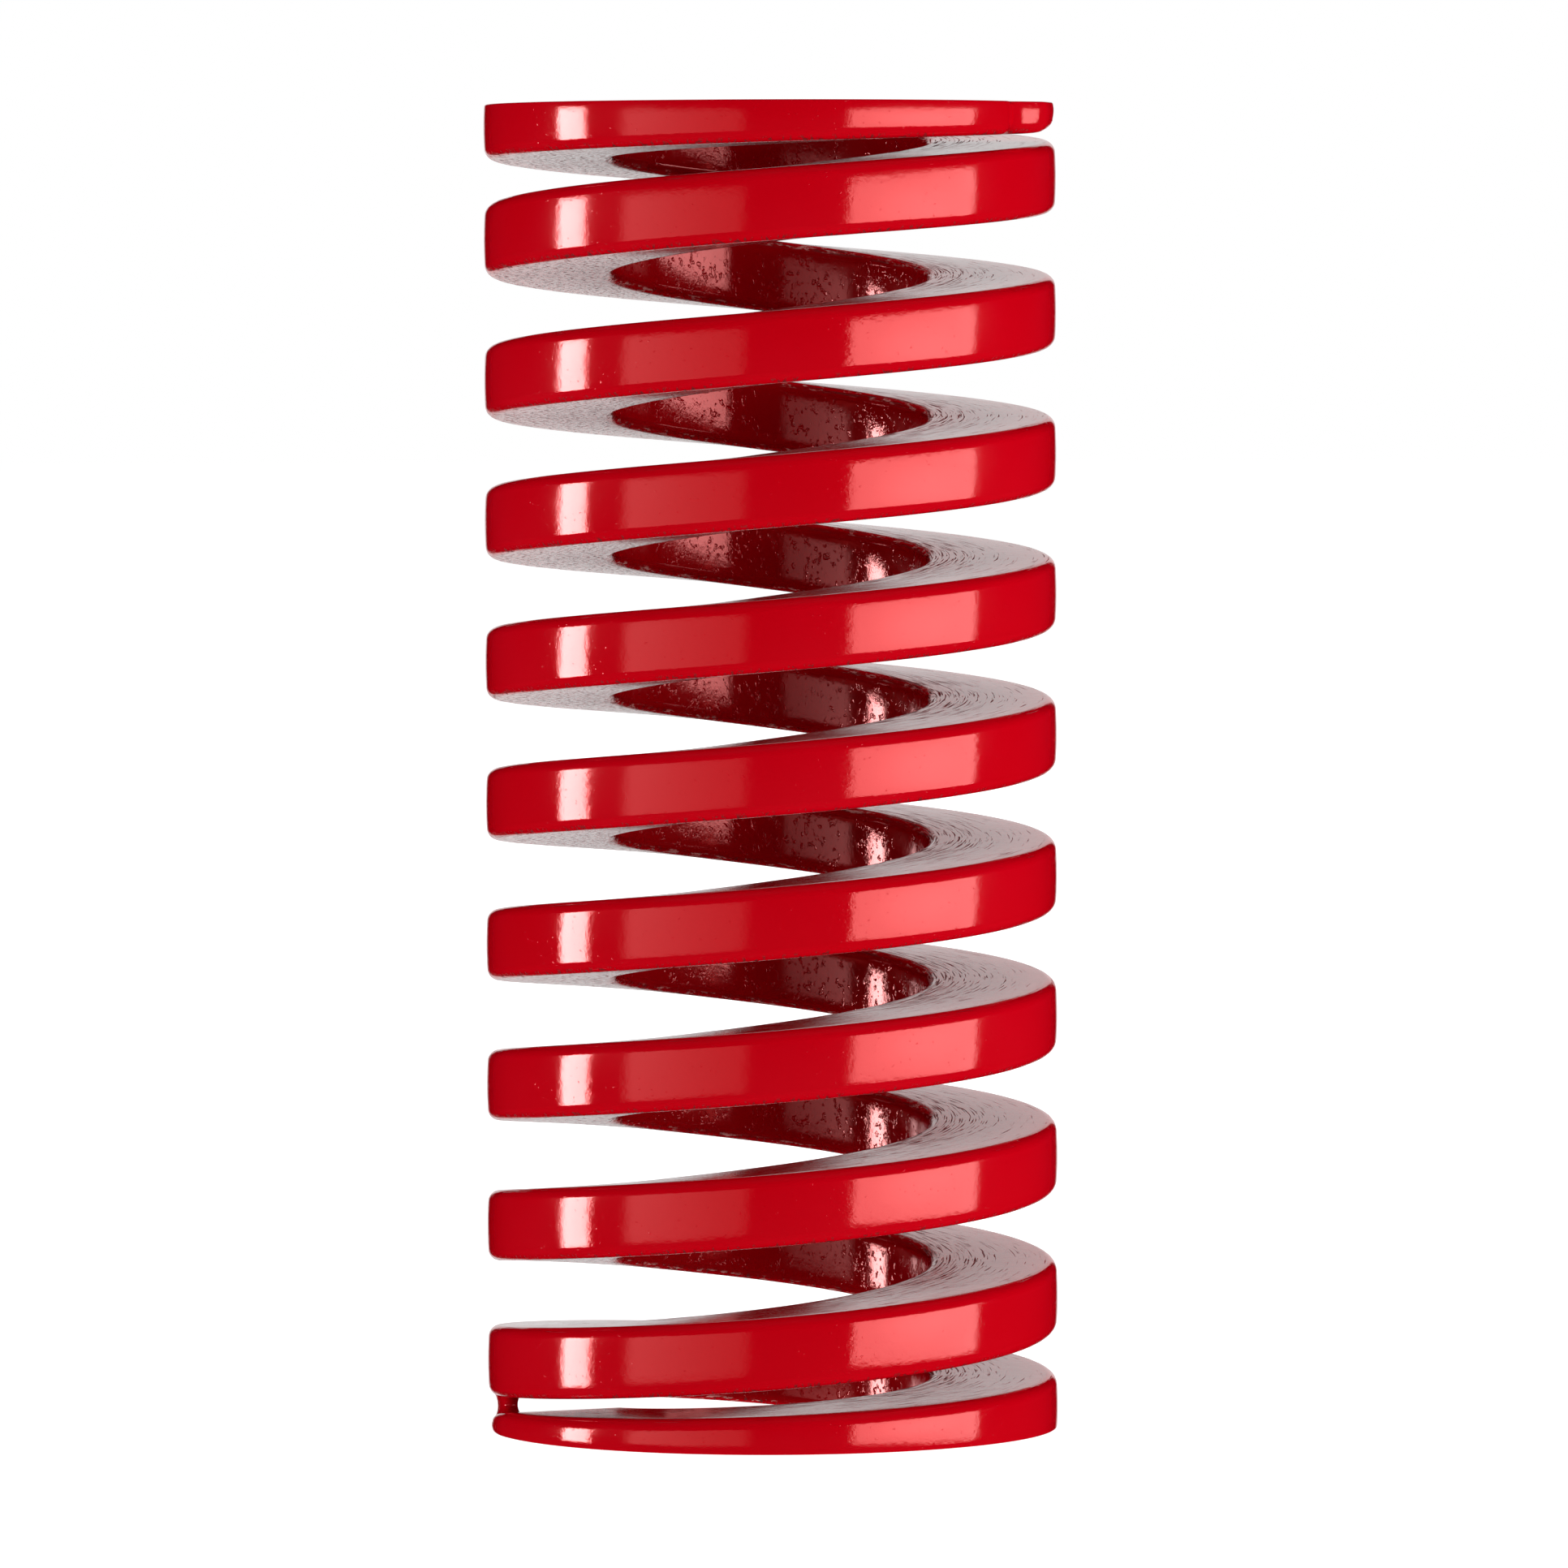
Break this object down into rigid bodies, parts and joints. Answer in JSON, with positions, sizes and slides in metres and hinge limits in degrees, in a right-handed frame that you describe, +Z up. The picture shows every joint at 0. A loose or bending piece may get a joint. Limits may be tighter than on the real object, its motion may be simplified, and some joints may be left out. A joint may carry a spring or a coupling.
{
  "type": "die spring",
  "caption": "Heavy right-hand compression spring of red painted rectangular wire, with closed and ground ends, for a 50 mm pocket and a 25 mm guide rod.",
  "frame": {"origin": "on the spring's axis, in the plane of the ground bottom end that it stands on", "axes": "+Z up the spring's axis towards the other end; the bottom wire tip is on the -X side and the top wire tip on the +X side; -Y is the front"},
  "size_m": [0.0496, 0.0496, 0.115],
  "materials": {
    "red_paint": "gloss"
  },
  "bodies": {
    "bottom_end": {"bottom_end_coil": "red_paint"},
    "coil_1_front": {"coil_1_front": "red_paint"},
    "coil_1_right": {"coil_1_right": "red_paint"},
    "coil_1_back": {"coil_1_back": "red_paint"},
    "coil_1_left": {"coil_1_left": "red_paint"},
    "coil_2_front": {"coil_2_front": "red_paint"},
    "coil_2_right": {"coil_2_right": "red_paint"},
    "coil_2_back": {"coil_2_back": "red_paint"},
    "coil_2_left": {"coil_2_left": "red_paint"},
    "coil_3_front": {"coil_3_front": "red_paint"},
    "coil_3_right": {"coil_3_right": "red_paint"},
    "coil_3_back": {"coil_3_back": "red_paint"},
    "coil_3_left": {"coil_3_left": "red_paint"},
    "coil_4_front": {"coil_4_front": "red_paint"},
    "coil_4_right": {"coil_4_right": "red_paint"},
    "coil_4_back": {"coil_4_back": "red_paint"},
    "coil_4_left": {"coil_4_left": "red_paint"},
    "coil_5_front": {"coil_5_front": "red_paint"},
    "coil_5_right": {"coil_5_right": "red_paint"},
    "coil_5_back": {"coil_5_back": "red_paint"},
    "coil_5_left": {"coil_5_left": "red_paint"},
    "coil_6_front": {"coil_6_front": "red_paint"},
    "coil_6_right": {"coil_6_right": "red_paint"},
    "coil_6_back": {"coil_6_back": "red_paint"},
    "coil_6_left": {"coil_6_left": "red_paint"},
    "coil_7_front": {"coil_7_front": "red_paint"},
    "coil_7_right": {"coil_7_right": "red_paint"},
    "coil_7_back": {"coil_7_back": "red_paint"},
    "coil_7_left": {"coil_7_left": "red_paint"},
    "coil_8_front": {"coil_8_front": "red_paint"},
    "coil_8_right": {"coil_8_right": "red_paint"},
    "coil_8_back": {"coil_8_back": "red_paint"},
    "coil_8_left": {"coil_8_left": "red_paint"},
    "coil_9_front": {"coil_9_front": "red_paint"},
    "coil_9_right": {"coil_9_right": "red_paint"},
    "top_end": {"top_end_coil": "red_paint"}
  },
  "joints": [
    {"name": "compression", "type": "slide", "parent": "bottom_end", "child": "top_end", "axis": [0, 0, -1], "range_m": [0, 0.0345], "stiffness_N_per_m": 122000},
    {"name": "coil_1_front_travel", "type": "slide", "parent": "bottom_end", "child": "coil_1_front", "axis": [0, 0, -1], "range_m": [0, 0.00102]},
    {"name": "coil_1_right_travel", "type": "slide", "parent": "bottom_end", "child": "coil_1_right", "axis": [0, 0, -1], "range_m": [0, 0.00203]},
    {"name": "coil_1_back_travel", "type": "slide", "parent": "bottom_end", "child": "coil_1_back", "axis": [0, 0, -1], "range_m": [0, 0.00305]},
    {"name": "coil_1_left_travel", "type": "slide", "parent": "bottom_end", "child": "coil_1_left", "axis": [0, 0, -1], "range_m": [0, 0.00406]},
    {"name": "coil_2_front_travel", "type": "slide", "parent": "bottom_end", "child": "coil_2_front", "axis": [0, 0, -1], "range_m": [0, 0.00507]},
    {"name": "coil_2_right_travel", "type": "slide", "parent": "bottom_end", "child": "coil_2_right", "axis": [0, 0, -1], "range_m": [0, 0.00609]},
    {"name": "coil_2_back_travel", "type": "slide", "parent": "bottom_end", "child": "coil_2_back", "axis": [0, 0, -1], "range_m": [0, 0.0071]},
    {"name": "coil_2_left_travel", "type": "slide", "parent": "bottom_end", "child": "coil_2_left", "axis": [0, 0, -1], "range_m": [0, 0.00812]},
    {"name": "coil_3_front_travel", "type": "slide", "parent": "bottom_end", "child": "coil_3_front", "axis": [0, 0, -1], "range_m": [0, 0.00913]},
    {"name": "coil_3_right_travel", "type": "slide", "parent": "bottom_end", "child": "coil_3_right", "axis": [0, 0, -1], "range_m": [0, 0.01015]},
    {"name": "coil_3_back_travel", "type": "slide", "parent": "bottom_end", "child": "coil_3_back", "axis": [0, 0, -1], "range_m": [0, 0.01116]},
    {"name": "coil_3_left_travel", "type": "slide", "parent": "bottom_end", "child": "coil_3_left", "axis": [0, 0, -1], "range_m": [0, 0.01218]},
    {"name": "coil_4_front_travel", "type": "slide", "parent": "bottom_end", "child": "coil_4_front", "axis": [0, 0, -1], "range_m": [0, 0.01319]},
    {"name": "coil_4_right_travel", "type": "slide", "parent": "bottom_end", "child": "coil_4_right", "axis": [0, 0, -1], "range_m": [0, 0.01421]},
    {"name": "coil_4_back_travel", "type": "slide", "parent": "bottom_end", "child": "coil_4_back", "axis": [0, 0, -1], "range_m": [0, 0.01522]},
    {"name": "coil_4_left_travel", "type": "slide", "parent": "bottom_end", "child": "coil_4_left", "axis": [0, 0, -1], "range_m": [0, 0.01624]},
    {"name": "coil_5_front_travel", "type": "slide", "parent": "bottom_end", "child": "coil_5_front", "axis": [0, 0, -1], "range_m": [0, 0.01725]},
    {"name": "coil_5_right_travel", "type": "slide", "parent": "bottom_end", "child": "coil_5_right", "axis": [0, 0, -1], "range_m": [0, 0.01827]},
    {"name": "coil_5_back_travel", "type": "slide", "parent": "bottom_end", "child": "coil_5_back", "axis": [0, 0, -1], "range_m": [0, 0.01928]},
    {"name": "coil_5_left_travel", "type": "slide", "parent": "bottom_end", "child": "coil_5_left", "axis": [0, 0, -1], "range_m": [0, 0.0203]},
    {"name": "coil_6_front_travel", "type": "slide", "parent": "bottom_end", "child": "coil_6_front", "axis": [0, 0, -1], "range_m": [0, 0.02131]},
    {"name": "coil_6_right_travel", "type": "slide", "parent": "bottom_end", "child": "coil_6_right", "axis": [0, 0, -1], "range_m": [0, 0.02232]},
    {"name": "coil_6_back_travel", "type": "slide", "parent": "bottom_end", "child": "coil_6_back", "axis": [0, 0, -1], "range_m": [0, 0.02334]},
    {"name": "coil_6_left_travel", "type": "slide", "parent": "bottom_end", "child": "coil_6_left", "axis": [0, 0, -1], "range_m": [0, 0.02435]},
    {"name": "coil_7_front_travel", "type": "slide", "parent": "bottom_end", "child": "coil_7_front", "axis": [0, 0, -1], "range_m": [0, 0.02537]},
    {"name": "coil_7_right_travel", "type": "slide", "parent": "bottom_end", "child": "coil_7_right", "axis": [0, 0, -1], "range_m": [0, 0.02638]},
    {"name": "coil_7_back_travel", "type": "slide", "parent": "bottom_end", "child": "coil_7_back", "axis": [0, 0, -1], "range_m": [0, 0.0274]},
    {"name": "coil_7_left_travel", "type": "slide", "parent": "bottom_end", "child": "coil_7_left", "axis": [0, 0, -1], "range_m": [0, 0.02841]},
    {"name": "coil_8_front_travel", "type": "slide", "parent": "bottom_end", "child": "coil_8_front", "axis": [0, 0, -1], "range_m": [0, 0.02943]},
    {"name": "coil_8_right_travel", "type": "slide", "parent": "bottom_end", "child": "coil_8_right", "axis": [0, 0, -1], "range_m": [0, 0.03044]},
    {"name": "coil_8_back_travel", "type": "slide", "parent": "bottom_end", "child": "coil_8_back", "axis": [0, 0, -1], "range_m": [0, 0.03146]},
    {"name": "coil_8_left_travel", "type": "slide", "parent": "bottom_end", "child": "coil_8_left", "axis": [0, 0, -1], "range_m": [0, 0.03247]},
    {"name": "coil_9_front_travel", "type": "slide", "parent": "bottom_end", "child": "coil_9_front", "axis": [0, 0, -1], "range_m": [0, 0.03349]},
    {"name": "coil_9_right_travel", "type": "slide", "parent": "bottom_end", "child": "coil_9_right", "axis": [0, 0, -1], "range_m": [0, 0.0345]}
  ],
  "couplings": [
    {"joint": "coil_1_front_travel", "follows": "compression", "ratio": 0.029412},
    {"joint": "coil_1_right_travel", "follows": "compression", "ratio": 0.058824},
    {"joint": "coil_1_back_travel", "follows": "compression", "ratio": 0.088235},
    {"joint": "coil_1_left_travel", "follows": "compression", "ratio": 0.11765},
    {"joint": "coil_2_front_travel", "follows": "compression", "ratio": 0.14706},
    {"joint": "coil_2_right_travel", "follows": "compression", "ratio": 0.17647},
    {"joint": "coil_2_back_travel", "follows": "compression", "ratio": 0.20588},
    {"joint": "coil_2_left_travel", "follows": "compression", "ratio": 0.23529},
    {"joint": "coil_3_front_travel", "follows": "compression", "ratio": 0.26471},
    {"joint": "coil_3_right_travel", "follows": "compression", "ratio": 0.29412},
    {"joint": "coil_3_back_travel", "follows": "compression", "ratio": 0.32353},
    {"joint": "coil_3_left_travel", "follows": "compression", "ratio": 0.35294},
    {"joint": "coil_4_front_travel", "follows": "compression", "ratio": 0.38235},
    {"joint": "coil_4_right_travel", "follows": "compression", "ratio": 0.41176},
    {"joint": "coil_4_back_travel", "follows": "compression", "ratio": 0.44118},
    {"joint": "coil_4_left_travel", "follows": "compression", "ratio": 0.47059},
    {"joint": "coil_5_front_travel", "follows": "compression", "ratio": 0.5},
    {"joint": "coil_5_right_travel", "follows": "compression", "ratio": 0.52941},
    {"joint": "coil_5_back_travel", "follows": "compression", "ratio": 0.55882},
    {"joint": "coil_5_left_travel", "follows": "compression", "ratio": 0.58824},
    {"joint": "coil_6_front_travel", "follows": "compression", "ratio": 0.61765},
    {"joint": "coil_6_right_travel", "follows": "compression", "ratio": 0.64706},
    {"joint": "coil_6_back_travel", "follows": "compression", "ratio": 0.67647},
    {"joint": "coil_6_left_travel", "follows": "compression", "ratio": 0.70588},
    {"joint": "coil_7_front_travel", "follows": "compression", "ratio": 0.73529},
    {"joint": "coil_7_right_travel", "follows": "compression", "ratio": 0.76471},
    {"joint": "coil_7_back_travel", "follows": "compression", "ratio": 0.79412},
    {"joint": "coil_7_left_travel", "follows": "compression", "ratio": 0.82353},
    {"joint": "coil_8_front_travel", "follows": "compression", "ratio": 0.85294},
    {"joint": "coil_8_right_travel", "follows": "compression", "ratio": 0.88235},
    {"joint": "coil_8_back_travel", "follows": "compression", "ratio": 0.91176},
    {"joint": "coil_8_left_travel", "follows": "compression", "ratio": 0.94118},
    {"joint": "coil_9_front_travel", "follows": "compression", "ratio": 0.97059},
    {"joint": "coil_9_right_travel", "follows": "compression", "ratio": 1}
  ]
}
